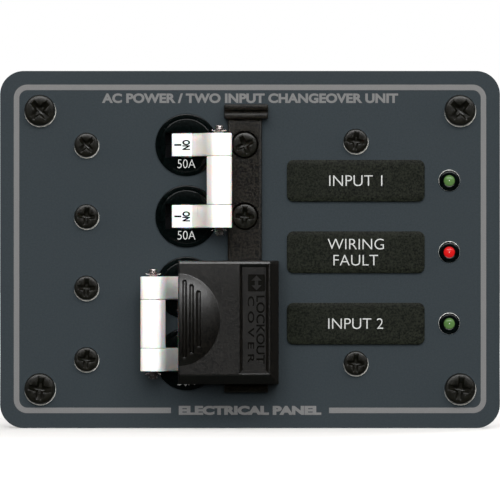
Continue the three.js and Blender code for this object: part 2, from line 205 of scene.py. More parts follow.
def white_nylon():
    finish = Finish("white_nylon", Subsurface_Weight=0.6, Subsurface_Scale=2.0 * MM)
    flow = finish.noise(220, 4, 0.6, stretch=(1, 1, 0.25))
    finish.colours(flow, (0.74, 0.725, 0.705), (0.80, 0.795, 0.78))
    finish.rough(flow, 0.27, 0.38)
    finish.bump([(finish.noise(1500, 2), 0.003)])
    return finish.material


def plated_steel():
    finish = Finish("plated_steel", Metallic=1.0)
    stain = finish.noise(900, 4)
    finish.colours(stain, (0.52, 0.42, 0.40), (0.72, 0.68, 0.67))
    finish.rough(stain, 0.16, 0.34)
    finish.bump([(finish.noise(2600, 3), 0.006)])
    return finish.material


def brass():
    finish = Finish("brass", Metallic=1.0)
    stain = finish.noise(500, 5)
    finish.colours(stain, (0.48, 0.31, 0.11), (0.66, 0.47, 0.20))
    finish.rough(stain, 0.22, 0.42)
    finish.bump([(finish.noise(2500, 3), 0.004)])
    return finish.material


# A light grey metal for the bright rings that show painted highlight crescents under the screws and round the
# lamps.
def painted_highlight_metal():
    finish = Finish("painted_highlight_metal", Metallic=0.3)
    scuff = finish.noise(1800, 4)
    finish.colours(scuff, (0.42, 0.42, 0.39), (0.72, 0.71, 0.67), 0.12)
    finish.rough(scuff, 0.36, 0.24)
    finish.bump([(scuff, 0.01)])
    return finish.material


def diffuser():
    finish = Finish("diffuser", Transmission_Weight=0.35)
    frost = finish.noise(2500, 3)
    finish.colours(frost, (0.72, 0.75, 0.72), (0.80, 0.82, 0.80))
    finish.rough(frost, 0.5, 0.65)
    finish.bump([(frost, 0.006)])
    return finish.material


def lens(name, deep, bright, glow):
    finish = Finish(name, Specular_IOR_Level=0.3, Emission_Color=(*bright, 1), Emission_Strength=glow)
    cloud = finish.noise(600, 3)
    finish.colours(cloud, deep, bright)
    finish.rough(cloud, 0.12, 0.2)
    finish.bump([(finish.noise(1500, 2), 0.002)])
    return finish.material


def ink(name, first, second, specular):
    finish = Finish(name, Specular_IOR_Level=specular)
    weave = finish.noise(4000, 3)
    finish.colours(weave, first, second)
    finish.rough(weave, 0.5, 0.62)
    finish.bump([(weave, 0.001)])
    return finish.material


MATERIALS = {
    "panel_coat": powder_coat(),
    "black_nylon": black_nylon("black_nylon", 0.66, 1.0),
    "track_nylon": black_nylon("track_nylon", 0.30, 2.3),
    "gloss_black": gloss_black(),
    "phenolic": phenolic(),
    "black_screw": black_screw(),
    "label_black": label_black(),
    "white_nylon": white_nylon(),
    "plated_steel": plated_steel(),
    "brass": brass(),
    "painted_highlight_metal": painted_highlight_metal(),
    "diffuser": diffuser(),
    "lens_green": lens("lens_green", (0.030, 0.070, 0.018), (0.046, 0.092, 0.028), 0.75),
    "lens_red": lens("lens_red", (0.16, 0.003, 0.003), (0.22, 0.004, 0.004), 1.6),
    "grey_ink": ink("grey_ink", (0.111, 0.111, 0.111), (0.131, 0.131, 0.131), 0.25),
    "white_ink": ink("white_ink", (0.36, 0.365, 0.36), (0.43, 0.435, 0.43), 0.25),
    "black_ink": ink("black_ink", (0.0010, 0.0010, 0.0010), (0.0026, 0.0026, 0.0026), 0.02),
    # Painted shade for the floor of the cover's engraved marks.
    "painted_shade_ink": ink("painted_shade_ink", (0.0016, 0.0016, 0.0013), (0.0044, 0.0042, 0.0034), 0.05),
}

# ---- outlines


def arc(x, y, radius, start, stop, steps):
    """Points along an arc, both ends included. Angles are in degrees."""
    angles = [math.radians(start + (stop - start) * i / steps) for i in range(steps + 1)]
    return [(x + radius * math.cos(a), y + radius * math.sin(a)) for a in angles]


def circle(x, y, radius, steps=48):
    return arc(x, y, radius, 0, 360, steps)[:-1]


def rounded(low_x, low_y, high_x, high_y, radius, steps=8):
    corners = [
        (high_x - radius, high_y - radius, 0),
        (low_x + radius, high_y - radius, 90),
        (low_x + radius, low_y + radius, 180),
        (high_x - radius, low_y + radius, 270),
    ]
    return [p for x, y, start in corners for p in arc(x, y, radius, start, start + 90, steps)]


def area(points):
    ahead = points[1:] + points[:1]
    return sum(a[0] * b[1] - b[0] * a[1] for a, b in zip(points, ahead)) / 2


def inset(points, distance):
    """The same loop moved to its left by distance, corner by corner."""
    made = []
    for i, (x, y) in enumerate(points):
        before, after = Vector(points[i - 1]), Vector(points[(i + 1) % len(points)])
        here = Vector((x, y))
        a, b = (here - before).normalized(), (after - here).normalized()
        left_a, left_b = Vector((-a.y, a.x)), Vector((-b.y, b.x))
        share = max(0.35, 1 + left_a.dot(left_b))
        move = (left_a + left_b) / share
        made.append((x + move.x * distance, y + move.y * distance))
    return made


# ---- meshes

# Turns a slab made in X and Y, thick along Z, to one with its outline in X and Z, facing -Y.
UPRIGHT = Matrix(((1, 0, 0, 0), (0, 0, -1, 0), (0, 1, 0, 0), (0, 0, 0, 1)))


def slab(outer, holes, low, high, bevel=0.0, steps=3, taper=None):
    """A closed slab from a loop and its holes, between two levels of Z, with rounded rims.
    taper scales the lower face about the origin."""
    loops = [outer if area(outer) > 0 else outer[::-1]]
    loops += [hole if area(hole) < 0 else hole[::-1] for hole in holes]
    turns = [math.radians(90 * i / steps) for i in range(steps + 1)] if bevel else [math.pi / 2]
    levels = [(bevel * (1 - math.sin(t)), low + bevel * (1 - math.cos(t))) for t in turns]
    levels += [(bevel * (1 - math.sin(t)), high - bevel * (1 - math.cos(t))) for t in reversed(turns)]
    mesh = bmesh.new()
    rims = {0: [], len(levels) - 1: []}
    for loop in loops:
        rings = []
        for level, (move, z) in enumerate(levels):
            points = inset(loop, move) if move else loop
            grow = taper if taper and level < len(levels) / 2 else 1
            rings.append([mesh.verts.new((x * grow, y * grow, z)) for x, y in points])
            if level in rims:
                rims[level].append(rings[-1])
        for lower, upper in zip(rings, rings[1:]):
            for i in range(len(loop)):
                mesh.faces.new((lower[i - 1], lower[i], upper[i], upper[i - 1]))
    for level, rings in rims.items():
        flat = [vert for ring in rings for vert in ring]
        for triangle in tessellate_polygon([[v.co for v in ring] for ring in rings]):
            corners = [flat[i] for i in triangle]
            if len(set(corners)) == 3 and not mesh.faces.get(corners):
                mesh.faces.new(corners)
    bmesh.ops.recalc_face_normals(mesh, faces=mesh.faces)
    return mesh


def turned(profile, steps=48):
    """A turned solid about the Y axis. profile holds (radius, y) pairs, axis to axis or as a closed loop."""
    mesh = bmesh.new()
    rings = []
    for radius, y in profile:
        if radius < 1e-7:
            rings.append([mesh.verts.new((0, y, 0))])
            continue
        angles = [2 * math.pi * i / steps for i in range(steps)]
        rings.append([mesh.verts.new((radius * math.cos(a), y, radius * math.sin(a))) for a in angles])
    pairs = list(zip(rings, rings[1:]))
    if profile[0][0] > 1e-7:
        pairs.append((rings[-1], rings[0]))
    for first, second in pairs:
        for i in range(steps):
            corners = [first[i - 1 if len(first) > 1 else 0], first[i if len(first) > 1 else 0]]
            corners += [second[i if len(second) > 1 else 0], second[i - 1 if len(second) > 1 else 0]]
            corners = list(dict.fromkeys(corners))
            if len(corners) > 2:
                mesh.faces.new(corners)
    bmesh.ops.recalc_face_normals(mesh, faces=mesh.faces)
    return mesh


def block(low, high):
    mesh = bmesh.new()
    bmesh.ops.create_cube(mesh, size=1)
    for vert in mesh.verts:
        vert.co = Vector([low[i] if vert.co[i] < 0 else high[i] for i in range(3)])
    return mesh


def moved(mesh, offset=(0, 0, 0), turn=0.0, axis="Z", mirror=False):
    """Turns the mesh about an axis through the origin, mirrors it in Z if asked, then shifts it."""
    matrix = Matrix.Translation(offset) @ Matrix.Rotation(turn, 4, axis)
    if mirror:
        matrix = matrix @ Matrix.Scale(-1, 4, (0, 0, 1))
    bmesh.ops.transform(mesh, matrix=matrix, verts=mesh.verts)
    if mirror:
        bmesh.ops.reverse_faces(mesh, faces=mesh.faces)
    return mesh


def stood(mesh):
    bmesh.ops.transform(mesh, matrix=UPRIGHT, verts=mesh.verts)
    return mesh


def joined(*meshes):
    made = bmesh.new()
    for mesh in meshes:
        data = bpy.data.meshes.new("part")
        mesh.to_mesh(data)
        made.from_mesh(data)
        bpy.data.meshes.remove(data)
        mesh.free()
    return made


def in_scene(name, data):
    made = bpy.data.objects.new(name, data)
    bpy.context.scene.collection.objects.link(made)
    return made


def mesh_object(name, mesh):
    data = bpy.data.meshes.new(name)
    mesh.to_mesh(data)
    mesh.free()
    return in_scene(name, data)


def evaluated(made):
    """The object's mesh with its modifiers applied, as a bmesh. The object is removed."""
    graph = bpy.context.evaluated_depsgraph_get()
    data = bpy.data.meshes.new_from_object(made.evaluated_get(graph))
    mesh = bmesh.new()
    mesh.from_mesh(data)
    bpy.data.meshes.remove(data)
    bpy.data.objects.remove(made)
    return mesh


def boolean(base, *tools):
    """Cuts the tools away from the base, one after the other."""
    target = mesh_object("base", base)
    cutters = [mesh_object("tool", tool) for tool in tools]
    for cutter in cutters:
        modifier = target.modifiers.new("cut", "BOOLEAN")
        modifier.operation = "DIFFERENCE"
        modifier.solver = "EXACT"
        modifier.object = cutter
    made = evaluated(target)
    for cutter in cutters:
        bpy.data.objects.remove(cutter)
    return made


def softened(mesh, width, angle=40, segments=2):
    """Rounds every edge that is sharper than angle."""
    made = mesh_object("base", mesh)
    bevel = made.modifiers.new("round", "BEVEL")
    bevel.width = width
    bevel.segments = segments
    bevel.limit_method = "ANGLE"
    bevel.angle_limit = math.radians(angle)
    return evaluated(made)


def lettering(words, height, width=None, depth=0.03 * MM, weight=0.0):
    """Flat letters centred on the origin in X and Y, with capitals of this height, thick along Z."""
    curve = bpy.data.curves.new("words", "FONT")
    curve.body = words
    curve.align_x = "CENTER"
    curve.offset = weight
    curve.resolution_u = 6
    curve.extrude = 0.01
    mesh = evaluated(in_scene("words", curve))
    bpy.data.curves.remove(curve)
    xs = [v.co.x for v in mesh.verts]
    ys = [v.co.y for v in mesh.verts]
    tall = max(ys) - min(ys)
    scale_y = height / tall
    scale_x = width / (max(xs) - min(xs)) if width else scale_y
    middle = Vector(((max(xs) + min(xs)) / 2, (max(ys) + min(ys)) / 2))
    for vert in mesh.verts:
        vert.co.x = (vert.co.x - middle.x) * scale_x
        vert.co.y = (vert.co.y - middle.y) * scale_y
        vert.co.z = depth if vert.co.z > 0 else 0.0
    bmesh.ops.remove_doubles(mesh, verts=mesh.verts, dist=1e-7)
    return mesh


def piece(name, mesh, finish, body="panel", replaces=(), slot=None, crease=38):
    """Makes a piece that rides on body. The slot argument is not used."""
    slot = slot or finish
    made = mesh_object(name, mesh)
    data = made.data
    data.polygons.foreach_set("use_smooth", [True] * len(data.polygons))
    data.set_sharp_from_angle(angle=math.radians(crease))
    data.materials.append(MATERIALS[finish])
    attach(made, body)
    if replaces:
        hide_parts(*replaces)


def finished(node, mesh, finish, body="panel", crease=38):
    """The finished form of one CAD piece, in its place."""
    piece(node + "_finished", mesh, finish, body, [node], crease=crease)


def print_on(name, mesh, where, finish, slot):
    """Stands a flat print up so that it faces -Y, with its back on the surface at where."""
    piece(name, moved(stood(mesh), where), finish, slot=slot)


# ---- plate and its print

CORNER_RADIUS = 6.35 * MM
WASHER_EDGE = 0.08 * MM  # how much wider a washer is than its screw's head
WASHER_THICK = 0.3 * MM
WASHER_ROUND = 0.06 * MM
WASHER_HIGHLIGHT_SHIFT = Vector((0.06, 0, -0.24)) * MM  # shifts the washer down and right, so that its bright edge shows as a painted highlight crescent under the head
SCREWS = {  # the radius of their holes in the plate, and how far each cross is turned, in degrees
    "corner": (2.4 * MM, {"top_left": 47, "top_right": 44, "bottom_left": 8, "bottom_right": 9}),
    "breaker": (2 * MM, {1: 46, 2: 5, 3: 3, 4: 6}),
    "track": (2 * MM, {1: -24, 2: 4, 3: 31, 4: 60}),
    "backlight": (2 * MM, {1: 7, 2: 3}),
}
SCREW_HOLES = {f"{kind}_screw_{i}": hole for kind, (hole, turns) in SCREWS.items() for i in turns}
CROSS_TURN = {f"{kind}_screw_{i}": turn for kind, (_, turns) in SCREWS.items() for i, turn in turns.items()}
PLATE_SCREWS = [node for node in SCREW_HOLES if not node.startswith("track")]
LABELS = {"shore": ["INPUT 1"], "polarity": ["WIRING", "FAULT"], "generator": ["INPUT 2"]}
BOSS_RADIUS = 8.27 * MM
BOSS_GAP = 0.06 * MM  # between a boss and its hole in the plate
PLATE_BEVEL = 0.05 * MM
SHANK = 0.52  # a screw's shank, as a share of its head's radius
WINDOW = Vector((33, 8)) * MM
BARREL_HOLE = 2.3 * MM


def bezel_place(pole):
    """X and Z of a breaker's round boss: on its lever's pivot, and at the middle of its case."""
    toggle = TOGGLES[0] if pole < 3 else TOGGLES[1]
    x = JOINTS[f"{toggle}_swing"]["pos_m"][0]
    return x, centre(f"line_terminal_{pole}").z


def plate():
    holes = [circle(centre(node).x, centre(node).z, radius, 32) for node, radius in SCREW_HOLES.items()]
    for pole in POLES:
        holes.append(circle(*bezel_place(pole), BOSS_RADIUS + BOSS_GAP, 96))
    half = WINDOW / 2
    for name in LABELS:
        spot, lamp = centre(f"label_{name}"), centre(f"lamp_holder_{name}")
        holes.append(rounded(spot.x - half.x, spot.z - half.y, spot.x + half.x, spot.z + half.y, MM, 4))
        holes.append(circle(lamp.x, lamp.z, BARREL_HOLE, 40))
    outer = rounded(PLATE_LOW.x, PLATE_LOW.z, PLATE_HIGH.x, PLATE_HIGH.z, CORNER_RADIUS, 20)
    mesh = slab(outer, holes, -BACK, -FRONT, PLATE_BEVEL, 1)
    piece("plate", stood(mesh), "panel_coat", replaces=["panel_plate"])


def highlight_washers():
    """A thin bright washer under each screw that clamps the plate. Set off its middle, it shows as a painted
    highlight crescent below the head.
    """
    for node in PLATE_SCREWS:
        radius = half_width(node)
        outline = circle(0, 0, radius + WASHER_EDGE, 64)
        hole = circle(0, 0, SHANK * radius + WASHER_HIGHLIGHT_SHIFT.length + PLATE_BEVEL, 32)
        ring = stood(slab(outline, [hole], 0, WASHER_THICK, WASHER_ROUND, 2))
        spot = centre(node) + WASHER_HIGHLIGHT_SHIFT
        piece(node + "_washer", moved(ring, (spot.x, FRONT, spot.z)), "painted_highlight_metal", slot="plated_steel")


BORDER = {"half_width": 63 * MM, "top": 43.98 * MM, "bottom": -43.64 * MM}
BORDER_LINE = 1.47 * MM
BORDER_RADIUS = 3.6 * MM
BORDER_GAP = 21.1 * MM
PLATE_WORDS = [  # piece, words, Z of the middle, capital height, length, how much bolder
    ("heading_print", "AC POWER / TWO INPUT CHANGEOVER UNIT", 40.35 * MM, 2.6 * MM, 79 * MM, 0.042),
    ("footing_print", "ELECTRICAL PANEL", -42.9 * MM, 2.45 * MM, 38 * MM, 0.062),
]
INK_DEPTH = 0.03 * MM


def border():
    """A printed frame line with a break at the bottom: one loop, round its outer edge and back inside."""
    half, line, radius = BORDER["half_width"], BORDER_LINE, BORDER_RADIUS
    low, high = BORDER["bottom"], BORDER["top"]

    def side(shrink):
        r = radius - shrink
        x, bottom, top = half - shrink, low + shrink, high - shrink
        right, left, foot, head = x - r, r - x, bottom + r, top - r
        corners = [(right, foot, 270), (right, head, 0), (left, head, 90), (left, foot, 180)]
        points = [p for cx, cz, start in corners for p in arc(cx, cz, r, start, start + 90, 10)]
        return [(BORDER_GAP, bottom), *points, (-BORDER_GAP, bottom)]

    mesh = slab(side(0) + side(line)[::-1], [], 0, INK_DEPTH)
    print_on("border_print", mesh, (0, FRONT, 0), "grey_ink", "panel_coat")


def plate_print():
    border()
    for name, words, z, height, length, weight in PLATE_WORDS:
        mesh = lettering(words, height, length, INK_DEPTH, weight)
        print_on(name, mesh, (0, FRONT, z), "grey_ink", "panel_coat")


# ---- screws

CROSS_DEPTH = 0.7  # of the head's height
CROSS_ROUND = 0.04 * MM
TRACK_SCREW_HEAD = 2.0 * MM


def cross_recess(radius, depth):
    """A Phillips recess to cut with: four flared arms that narrow as they go down to a point."""
    long, wide, waist = 0.82 * radius, 0.205 * radius, 0.255 * radius
    arm = [(waist, -waist), (0.9 * long, -wide), (long, -0.75 * wide)]
    arm += [(long, 0.75 * wide), (0.9 * long, wide)]
    points = []
    for quarter in range(4):
        turn = Matrix.Rotation(quarter * math.pi / 2, 2)
        points += [tuple(turn @ Vector(p)) for p in arm]
    return stood(slab(points, [], -depth, 0.3 * depth, taper=0.42))


def pan_head(radius, height, shank, length):
    """A pan head on a shank, its underside at y = 0 and its head towards -Y."""
    crown = [(0, -height), (0.6 * radius, -0.995 * height), (0.9 * radius, -0.98 * height)]
    crown += [(0.925 * radius, -0.955 * height), (0.945 * radius, -0.90 * height)]
    rim = [(0.985 * radius, -0.55 * height), (radius, -0.35 * height), (radius, 0)]
    point = [(shank, 0), (shank, length - 1.6 * shank), (0.2 * shank, length - 0.1 * shank), (0, length)]
    return turned(crown + rim + point, 64)


def screws():
    for node, turn in CROSS_TURN.items():
        low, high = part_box(node)
        seat = FRONT - WASHER_THICK if node in PLATE_SCREWS else low.y + TRACK_SCREW_HEAD
        radius, height = half_width(node), seat - low.y
        head = pan_head(radius, height, SHANK * radius, high.y - seat)
        recess = cross_recess(radius, CROSS_DEPTH * height)
        recess = moved(recess, (0, -height, 0), math.radians(turn), "Y")
        mesh = softened(boolean(head, recess), CROSS_ROUND, 50)
        spot = centre(node)
        finished(node, moved(mesh, (spot.x, seat, spot.z)), "black_screw")


# ---- breaker cases

POCKET_RADIUS = 7.9 * MM
WINDOW_HALF = Vector((5.6, 3.35)) * MM
BOSS_PROUD = 0.8 * MM
BOSS_RIM = [  # millimetres in from the edge and down from the top: a rim, a groove, then the face
    (0, 0.30),
    (0.03, 0.14),
    (0.10, 0.04),
    (0.22, 0.01),
    (1.04, 0.01),
    (1.08, 0.09),
    (1.12, 0.30),
    (1.20, 0.30),
    (1.26, 0.21),
    (1.33, 0.15),
    (1.44, 0.12),
]
BOSS_FOOT = 0.6 * MM
BOSS_ROUND = 0.05 * MM
MOUTH_FRONT = -9 * MM
CASE_BEVEL = 0.35 * MM
CASE_STEP = 7 * MM
CASE_STEP_LENGTH = 15 * MM
SEAM = 0.05 * MM


def boss():
    """The whole round boss, its face towards -Y and its foot in the case."""
    rim = [(BOSS_RADIUS - inward * MM, FRONT - BOSS_PROUD + down * MM) for inward, down in BOSS_RIM]
    return turned([(0, BOSS_FOOT), (BOSS_RADIUS, BOSS_FOOT), *rim, (0, rim[-1][1])], 128)


def pocket_tools():
    """The drum that a lever's hub turns in, and the window that the lever sticks out of."""
    pivot_y = JOINTS["upper_toggle_swing"]["pos_m"][1]
    drum = slab(circle(0, pivot_y, POCKET_RADIUS, 64), [], -WINDOW_HALF.y, WINDOW_HALF.y)
    mouth = block((-WINDOW_HALF.x, MOUTH_FRONT, -WINDOW_HALF.y), (WINDOW_HALF.x, pivot_y, WINDOW_HALF.y))
    return [drum, mouth]


def case_body(low, high):
    """The moulded half behind the plate, with steps for the terminals. z = 0 is the parting plane."""
    step_y = high.y - CASE_STEP
    left, right = low.x + CASE_STEP_LENGTH, high.x - CASE_STEP_LENGTH
    outline = [
        (low.x, BACK),
        (high.x, BACK),
        (high.x, step_y),
        (right, step_y),
        (right, high.y),
        (left, high.y),
        (left, step_y),
        (low.x, step_y),
    ]
    return slab(outline, [], SEAM, high.z - low.z, CASE_BEVEL)


VENT = {"first": 9 * MM, "pitch": 3 * MM, "width": 1.3 * MM, "depth": 0.9 * MM}
VENT_LOW = 2.8 * MM
VENT_HIGH = 6.8 * MM
RIVET = {"inset": 4.2 * MM, "radius": 1.6 * MM, "groove": 0.6 * MM, "depth": 0.45 * MM}


def case_tools(low, high):
    """Cuts that every half has: four vents in each end, and a ring round each of its four rivets."""
    tools = []
    for i in range(4):
        y = BACK + VENT["first"] + i * VENT["pitch"]
        for x in (low.x, high.x):
            corner = (x - VENT["depth"], y, VENT_LOW)
            tools.append(block(corner, (x + VENT["depth"], y + VENT["width"], VENT_HIGH)))
    inner, outer = RIVET["radius"], RIVET["radius"] + RIVET["groove"]
    face = high.z - low.z
    for x in (low.x + RIVET["inset"], high.x - RIVET["inset"]):
        for y in (BACK + RIVET["inset"], high.y - CASE_STEP - RIVET["inset"]):
            hole = circle(x, y, inner, 32)
            tools.append(slab(circle(x, y, outer, 32), [hole], face - RIVET["depth"], face + MM))
    return joined(*tools)


def cases():
    for pole in POLES:
        x, z = bezel_place(pole)
        for side in ("upper", "lower"):
            mirror = side == "lower"
            node = f"breaker_case_{pole}_{side}"
            low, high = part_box(node)
            pocket = [moved(tool, (x, 0, 0)) for tool in pocket_tools()]
            body = boolean(case_body(low, high), *pocket, case_tools(low, high))
            front = boolean(boss(), *pocket_tools(), block((-1, -1, -1), (1, 1, 0)))
            front = softened(front, BOSS_ROUND, 50)
            piece(node + "_shell", moved(body, (0, 0, z), mirror=mirror), "phenolic", replaces=[node])
            piece(node + "_boss", moved(front, (x, 0, z), mirror=mirror), "gloss_black", slot="phenolic")


RATING = {"words": "50A", "height": 2.35 * MM, "width": 4.75 * MM}
RATING_DROP = {1: 5.0 * MM, 2: 5.0 * MM, 3: 5.0 * MM, 4: 5.8 * MM}  # under the pole's middle


def ratings():
    face = FRONT - BOSS_PROUD + BOSS_RIM[-1][1] * MM
    for pole in POLES:
        x, z = bezel_place(pole)
        mesh = lettering(RATING["words"], RATING["height"], RATING["width"], INK_DEPTH, weight=-0.01)
        print_on(f"rating_print_{pole}", mesh, (x, face, z - RATING_DROP[pole]), "white_ink", "phenolic")


# ---- toggles

HUB_RADIUS = 7.5 * MM
HUB_STEP = 0.25 * MM  # how finely the prints bend round the hub
SECTOR = 57.0  # degrees of printed rim each side of the lever
CORE_RADIUS = 4.0 * MM
NECK_HALF = 2.0 * MM
TIP = 6.0 * MM
TIP_CORNER = 2.0 * MM
FLARE = [(2.3 * MM, 0.7 * MM), (3.0 * MM, -0.5 * MM)]  # where the neck widens into the tip
PIN_RADIUS = 1.1 * MM
PIN_HOLE = 1.2 * MM
LEVER_WIDTH = 6.1 * MM
LEVER_BEVEL = 0.22 * MM
BAR_BEVEL = 0.12 * MM
PIN_BEVEL = 0.25 * MM
TRUNNION_RADIUS = 1.5 * MM
TRUNNION_HALF = 5 * MM
TRUNNION_BEVEL = 0.1 * MM


def lean_of(toggle):
    """Its angle at rest from straight out (-Y), and its pin's distance from the pivot."""
    pivot = Vector(JOINTS[f"{toggle}_swing"]["pos_m"])
    arm = centre(f"{toggle}_tie_pin") - pivot
    return math.atan2(arm.x, -arm.y), math.hypot(arm.x, arm.y)


def lever(reach):
    """A lever that points along -Y from its pivot, thick along Z. Its hub is a sector with a round core."""
    neck = math.degrees(math.asin(NECK_HALF / HUB_RADIUS))
    corner = TIP / 2 - TIP_CORNER
    flare = [(x, TIP / 2 - reach + y) for x, y in FLARE]
    outline = arc(0, 0, HUB_RADIUS, neck - 90, SECTOR - 90, 24)
    outline += arc(0, 0, CORE_RADIUS, SECTOR - 60, 240 - SECTOR, 24)
    outline += arc(0, 0, HUB_RADIUS, 270 - SECTOR, 270 - neck, 24)
    outline += [(-x, y) for x, y in flare]
    outline += arc(-corner, -reach - corner, TIP_CORNER, 180, 270, 8)
    outline += arc(corner, -reach - corner, TIP_CORNER, 270, 360, 8)
    outline += reversed(flare)
    body = slab(outline, [circle(0, -reach, PIN_HOLE, 24)], -LEVER_WIDTH / 2, LEVER_WIDTH / 2, LEVER_BEVEL)
    round_bar = circle(0, 0, TRUNNION_RADIUS, 24)
    return joined(body, slab(round_bar, [], -TRUNNION_HALF, TRUNNION_HALF, TRUNNION_BEVEL))


def on_hub(mesh, lean):
    """Wraps a flat print round the hub: its X runs round the rim from the lever's direction."""
    low, high = min(v.co.x for v in mesh.verts), max(v.co.x for v in mesh.verts)
    count = math.ceil((high - low) / HUB_STEP)
    for i in range(1, count):
        cut = Vector((low + (high - low) * i / count, 0, 0))
        geometry = mesh.verts[:] + mesh.edges[:] + mesh.faces[:]
        bmesh.ops.bisect_plane(mesh, geom=geometry, dist=1e-7, plane_co=cut, plane_no=(1, 0, 0))
    for vert in mesh.verts:
        angle = vert.co.x / HUB_RADIUS + lean
        radius = HUB_RADIUS + vert.co.z
        vert.co = Vector((radius * math.sin(angle), -radius * math.cos(angle), vert.co.y))
    return mesh


def at_tip(mesh, toggle, z=0.0, mirror=False):
    """Carries what was made round the pivot's axis out to the toggle's pin, and up to z."""
    lean, reach = lean_of(toggle)
    pivot_x, pivot_y, _ = JOINTS[f"{toggle}_swing"]["pos_m"]
    leaned = moved(moved(mesh, (0, -reach, 0)), turn=lean)
    return moved(leaned, (pivot_x, pivot_y, z), mirror=mirror)


def tie(toggle, part, outline, holes, bevel, finish):
    """The tie bar or its pin, from one end of the frame's box to the other."""
    node = f"{toggle}_{part}"
    low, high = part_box(node)
    mesh = slab(outline, holes, low.z, high.z, bevel)
    finished(node, at_tip(mesh, toggle), finish, toggle)


def toggles():
    half = TIP / 2
    square = rounded(-half, -half, half, half, TIP_CORNER, 8)
    for toggle in TOGGLES:
        pivot_x, pivot_y, _ = JOINTS[f"{toggle}_swing"]["pos_m"]
        lean, reach = lean_of(toggle)
        for part in ("lever_upper", "lever_lower"):
            node = f"{toggle}_{part}"
            spot = Vector((pivot_x, pivot_y, centre(node).z))
            mesh = moved(lever(reach), spot, lean)
            finished(node, mesh, "white_nylon", toggle, crease=30)
            hub_print(node, spot, lean, toggle)
        tie(toggle, "tie_bar", square, [circle(0, 0, PIN_HOLE, 24)], BAR_BEVEL, "white_nylon")
        tie(toggle, "tie_pin", circle(0, 0, PIN_RADIUS, 32), [], PIN_BEVEL, "plated_steel")
        for end in ("upper", "lower"):
            node = f"{toggle}_pin_clip_{end}"
            low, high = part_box(node)
            foot = low.z if end == "upper" else high.z
            clip = at_tip(pin_clip(CLIP_HEIGHT * (high.z - low.z)), toggle, foot, end == "lower")
            finished(node, clip, "plated_steel", toggle)


CLIP_TEETH = 6
CLIP_RADIUS = 2.33 * MM
CLIP_COLLAR = 1.28 * MM
CLIP_DISH = 0.3 * MM
CLIP_SHEET = 0.16 * MM
CLIP_LIFT = 0.3 * MM
CLIP_HEIGHT = 0.85  # the collar's, as a share of the frame's box
CLIP_GAP = 0.02 * MM
CLIP_NOTCH = 0.66  # a notch's depth, as a share of the teeth's radius


def pin_clip(height):
    """A push-on star clip on z = 0: a collar round the pin, and a thin dished disc with pointed teeth."""
    hole = circle(0, 0, PIN_RADIUS + CLIP_GAP, 24)
    collar = slab(circle(0, 0, CLIP_COLLAR, 32), [hole], 0, height, 0.07 * MM)
    count = CLIP_TEETH * 6
    tips = []
    for i in range(count):
        angle = 2 * math.pi * i / count
        share = abs((i % 6) - 3) / 3  # 1 at a tooth's point, 0 in the notch
        radius = CLIP_RADIUS * (CLIP_NOTCH + (1 - CLIP_NOTCH) * share * share)
        tips.append((radius * math.cos(angle), radius * math.sin(angle)))
    disc = slab(tips, [circle(0, 0, CLIP_COLLAR - 0.05 * MM, 24)], 0, CLIP_SHEET, 0.04 * MM, 2)
    for vert in disc.verts:
        out = math.hypot(vert.co.x, vert.co.y) - CLIP_COLLAR
        vert.co.z += CLIP_LIFT + CLIP_DISH * (out / (CLIP_RADIUS - CLIP_COLLAR)) ** 2
    return joined(disc, collar)


WORD_ANGLE = 26.5  # degrees round the hub from the lever's direction
MARK_ANGLE = 44.0
MARK_HALF = 0.98 * MM
MARK_WEIGHT = 0.24 * MM
RING_RADIUS = 0.72 * MARK_HALF
WORD = {"height": 2.1 * MM, "on_width": 2.7 * MM, "off_width": 3.7 * MM}


def hub_print(node, spot, lean, toggle):
    """The on and off marks on the hub, each on the side that shows when the lever leans the other way."""
    steps = [MARK_HALF * (i / 4 - 1) for i in range(9)]
    dash = [(x, -MARK_WEIGHT) for x in steps] + [(x, MARK_WEIGHT) for x in reversed(steps)]
    hole = circle(0, 0, RING_RADIUS - 2 * MARK_WEIGHT, 32)
    marks = [
        ("ON", -HUB_RADIUS, WORD["on_width"], dash, []),
        ("OFF", HUB_RADIUS, WORD["off_width"], circle(0, 0, RING_RADIUS, 32), [hole]),
    ]
    for word, side, width, outer, holes in marks:
        letters = lettering(word, WORD["height"], width, INK_DEPTH, weight=0.05)
        letters = moved(letters, turn=math.radians(-90))
        letters = moved(letters, (side * math.radians(WORD_ANGLE), 0, 0))
        mark = moved(slab(outer, holes, 0, INK_DEPTH), (side * math.radians(MARK_ANGLE), 0, 0))
        mesh = moved(on_hub(joined(letters, mark), lean), spot)
        piece(f"{node}_{word.lower()}_print", mesh, "black_ink", toggle, slot="white_nylon")


# ---- slide track

TRACK_X = -1.375 * MM
TRACK_STEM = 1.2 * MM
TRACK_HEIGHT = 4.2 * MM
TRACK_HEAD_HALF = 4.495 * MM
TRACK_STEM_HALF = 2.5 * MM
COUNTERBORE = 3.75 * MM
COUNTERBORE_FLOOR = 1.8 * MM
TOP_STOP = 34.8 * MM
BOTTOM_STOP = -35.95 * MM
RAIL_END = 0.4 * MM
RAIL_ROUND = 0.3 * MM
STOP_ROUND = 0.35 * MM
STOP_GROOVE = {"low": 1.25 * MM, "high": 2.35 * MM, "depth": 1.4 * MM, "round": 0.12 * MM}


def tee(foot, play):
    """Half way round the track, or round the slot that runs on it: (x, height over the plate) pairs."""
    stem, head = TRACK_STEM_HALF + play, TRACK_HEAD_HALF + play
    neck, top = TRACK_STEM - play, TRACK_HEIGHT + play
    half = [(stem, foot), (stem, neck), (head, neck), (head, top)]
    return [(TRACK_X - x, up) for x, up in half] + [(TRACK_X + x, up) for x, up in reversed(half)]


def counterbores():
    bores = []
    for pole in POLES:
        spot = centre(f"track_screw_{pole}")
        bore = slab(circle(0, 0, COUNTERBORE, 64), [], COUNTERBORE_FLOOR, 9 * MM)
        bores.append(moved(stood(bore), (spot.x, FRONT, spot.z)))
    return bores


def end_stop(low, high, bottom, top):
    return softened(block((low.x, low.y, bottom), (high.x, FRONT, top)), STOP_ROUND, 40, 3)


